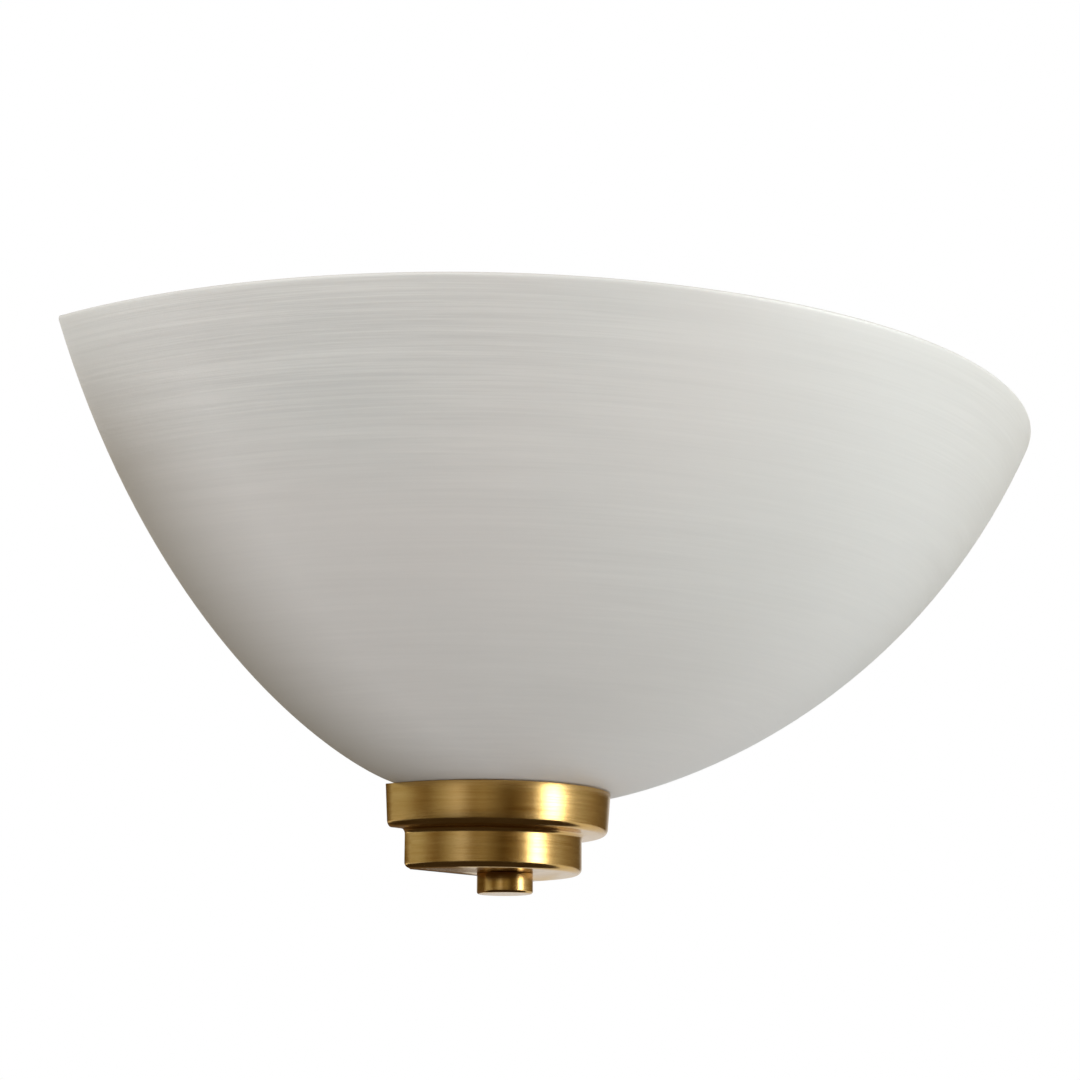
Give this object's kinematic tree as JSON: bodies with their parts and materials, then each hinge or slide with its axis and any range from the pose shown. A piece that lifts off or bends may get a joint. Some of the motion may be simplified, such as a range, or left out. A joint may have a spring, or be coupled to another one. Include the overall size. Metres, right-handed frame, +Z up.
{
  "type": "uplighter wall sconce",
  "caption": "Half-bowl glass uplighter for a wall, held by a stepped brass cap and a screw knob, with an inner plate, lamp holder and lamp.",
  "frame": {"origin": "midway between the two wall screws, on the wall plane", "axes": "+X to the right along the wall, +Y into the wall, +Z up"},
  "size_m": [0.2992, 0.1496, 0.1188],
  "materials": {
    "shade_glass": "brushed matt off-white glass",
    "antique_brass": "satin, brushed round",
    "white_silicone": "matt",
    "zinc_steel": "bright zinc plate",
    "white_paint": "semi-matt white powder coat",
    "black_rubber": "matt",
    "holder_plastic": "moulded, fine texture",
    "insert_ceramic": "glazed",
    "nickel_plate": "nickel plate",
    "contact_brass": "plain brass",
    "lamp_glass": "opal",
    "lamp_cap_metal": "rolled",
    "black_insulator": "glossy",
    "solder_tip": "dull solder",
    "terminal_plastic": "translucent white moulding",
    "brown_lead": "silicone sleeve",
    "blue_lead": "silicone sleeve",
    "green_yellow_lead": "striped silicone sleeve"
  },
  "bodies": {
    "fixture": {"fixing_rod": "zinc_steel", "rod_nuts": "zinc_steel", "seat_pad": "white_silicone", "clamp_washer": "zinc_steel", "back_plate": "white_paint", "cable_bush": "black_rubber", "holder_bracket": "white_paint", "bracket_rivets": "zinc_steel", "holder_nipple": "zinc_steel", "nipple_nut": "zinc_steel", "nipple_washer": "zinc_steel", "holder_cap": "holder_plastic", "holder_sleeve": "holder_plastic", "holder_insert": "insert_ceramic", "holder_shell": "nickel_plate", "holder_contact": "contact_brass", "terminal_block": "terminal_plastic", "terminal_tubes": "contact_brass", "terminal_screws": "zinc_steel", "block_screw": "zinc_steel", "earth_washer": "contact_brass", "earth_tag": "contact_brass", "earth_screw": "contact_brass", "live_lead": "brown_lead", "neutral_lead": "blue_lead", "earth_lead": "green_yellow_lead"},
    "shade": {"glass_shade": "shade_glass", "base_cap": "antique_brass", "cap_gasket": "white_silicone"},
    "knob": {"finial_knob": "antique_brass"},
    "lamp": {"lamp_globe": "lamp_glass", "lamp_cap": "lamp_cap_metal", "lamp_insulator": "black_insulator", "lamp_contact": "solder_tip"}
  },
  "joints": [
    {"name": "shade_lower", "type": "slide", "parent": "fixture", "child": "shade", "axis": [0, 0, -1], "range_m": [0, 0.0035]},
    {"name": "knob_turn", "type": "hinge", "parent": "shade", "child": "knob", "pos_m": [0, -0.0114, -0.08], "axis": [0, 0, 1], "range_deg": [0, 1261]},
    {"name": "lamp_out", "type": "slide", "parent": "fixture", "child": "lamp", "axis": [1, 0, 0], "range_m": [0, 0.022]}
  ],
  "couplings": [
    {"joint": "knob_turn", "follows": "shade_lower", "rad_per_m": 6283.2}
  ]
}
